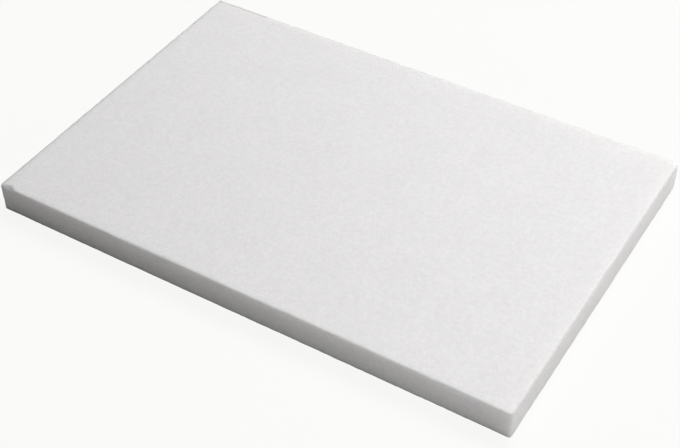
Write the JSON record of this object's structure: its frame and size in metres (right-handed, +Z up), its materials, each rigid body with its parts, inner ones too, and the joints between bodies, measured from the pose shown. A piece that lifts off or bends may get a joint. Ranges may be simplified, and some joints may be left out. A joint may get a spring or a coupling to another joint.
{
  "type": "polystyrene foam sheet",
  "caption": "Flat rigid sheet of white expanded bead foam with square-cut edges, softened rims, a crushed corner, a knocked corner and small hollows where beads have come out.",
  "frame": {"origin": "centre of the underside, on the surface that the sheet lies on", "axes": "+X along the length, from the crushed end to the knocked end; +Y along the width, from front to back; +Z up through the thickness"},
  "size_m": [0.45, 0.3, 0.026],
  "materials": {
    "bead_foam": "matt, white expanded bead foam, hot-wire cut, with fine bead texture"
  },
  "bodies": {
    "root": {"foam_sheet": "bead_foam"}
  },
  "joints": []
}
